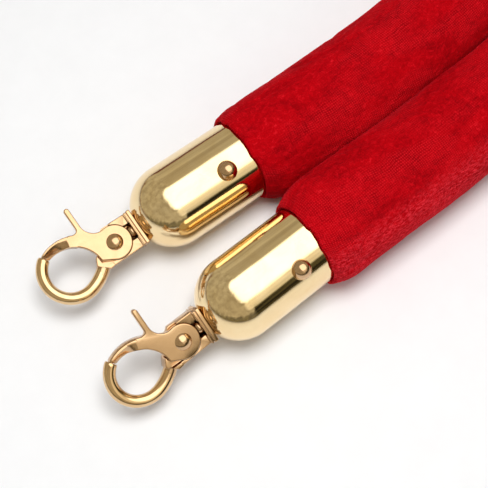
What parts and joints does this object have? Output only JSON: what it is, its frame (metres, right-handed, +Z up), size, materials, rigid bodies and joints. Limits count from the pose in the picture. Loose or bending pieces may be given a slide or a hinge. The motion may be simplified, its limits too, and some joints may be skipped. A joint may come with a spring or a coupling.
{
  "type": "velvet barrier rope",
  "caption": "Padded red velvet barrier rope, doubled, with dome-ended gold caps and swivelling trigger snap hooks for hanging between queue posts.",
  "frame": {"origin": "on the resting surface, under the middle of the box round the two ends' metalwork", "axes": "+X from the hooks towards the rope, +Y towards the end that lies further along X, +Z up from the surface"},
  "size_m": [0.694, 0.2406, 0.0413],
  "materials": {
    "gold_plate": "mirror-polished pale gold plating, hard lacquered",
    "velvet": "crushed red velvet, short pile",
    "foam": "soft cellular foam cord",
    "plug_wood": "bare turned softwood",
    "steel": "zinc-plated steel"
  },
  "bodies": {
    "root": {"velvet_sleeve": "velvet", "foam_core": "foam", "end_cap_a": "gold_plate", "cap_screw_a": "gold_plate", "end_plug_a": "plug_wood", "sleeve_band_a": "steel", "swivel_rivet_a": "gold_plate", "swivel_washer_a": "steel", "end_cap_b": "gold_plate", "cap_screw_b": "gold_plate", "end_plug_b": "plug_wood", "sleeve_band_b": "steel", "swivel_rivet_b": "gold_plate", "swivel_washer_b": "steel"},
    "hook_a": {"hook_body_a": "gold_plate", "lever_rivet_a": "gold_plate", "trigger_spring_a": "steel"},
    "lever_a": {"trigger_lever_a": "gold_plate"},
    "hook_b": {"hook_body_b": "gold_plate", "lever_rivet_b": "gold_plate", "trigger_spring_b": "steel"},
    "lever_b": {"trigger_lever_b": "gold_plate"}
  },
  "joints": [
    {"name": "swivel_a", "type": "hinge", "parent": "root", "child": "hook_a", "pos_m": [-0.00163, 0.02463, 0.019], "axis": [0.9997, -0.0227, 0], "continuous": true},
    {"name": "trigger_a", "type": "hinge", "parent": "hook_a", "child": "lever_a", "pos_m": [-0.01463, 0.02493, 0.019], "axis": [0.007, 0.3089, -0.9511], "range_deg": [0, 27], "stiffness_Nm_per_rad": 0.08, "springref_deg": -28.65, "deforming": ["trigger_spring_a"]},
    {"name": "swivel_b", "type": "hinge", "parent": "root", "child": "hook_b", "pos_m": [-0.00564, -0.02919, 0.019], "axis": [0.9997, 0.0227, 0], "continuous": true},
    {"name": "trigger_b", "type": "hinge", "parent": "hook_b", "child": "lever_b", "pos_m": [-0.01863, -0.02949, 0.019], "axis": [-0.013, 0.5734, -0.8192], "range_deg": [0, 27], "stiffness_Nm_per_rad": 0.08, "springref_deg": -28.65, "deforming": ["trigger_spring_b"]}
  ]
}
